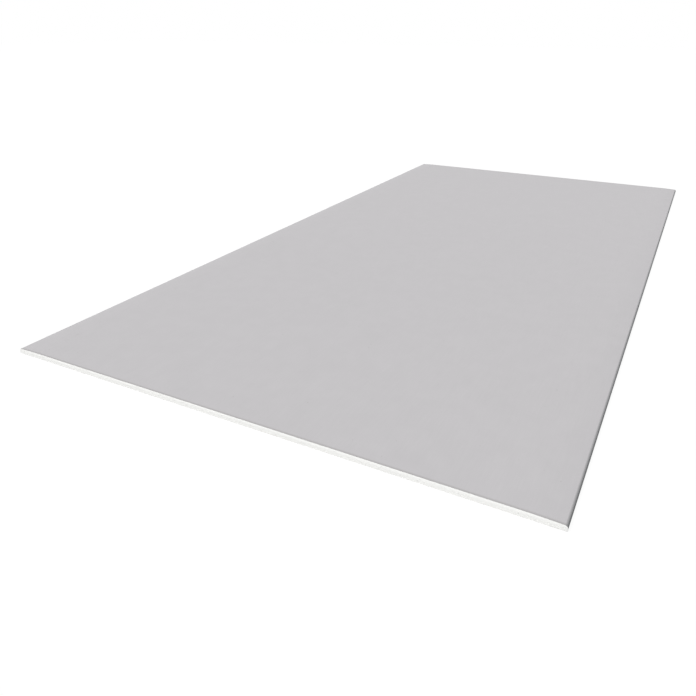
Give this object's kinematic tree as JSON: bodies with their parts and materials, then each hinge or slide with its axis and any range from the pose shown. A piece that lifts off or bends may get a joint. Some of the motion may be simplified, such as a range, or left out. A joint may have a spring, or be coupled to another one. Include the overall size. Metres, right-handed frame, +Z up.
{
  "type": "drywall sheet",
  "caption": "Flat drywall sheet with tapered, rounded long edges and square-cut ends: a white gypsum core between a grey face paper and a back paper, for lining walls and ceilings.",
  "frame": {"origin": "middle of the underside, on the back paper's outer face", "axes": "+X across the sheet's width, +Y along its length, +Z up, out of the finished face"},
  "size_m": [1.2192, 2.4384, 0.0127],
  "materials": {
    "gypsum": "matte, chalky, cut across",
    "face_paper": "matte, smooth grey liner paper",
    "back_paper": "matte, coarse recycled paper"
  },
  "bodies": {
    "root": {"gypsum_core": "gypsum", "face_paper": "face_paper", "back_paper": "back_paper"}
  },
  "joints": []
}
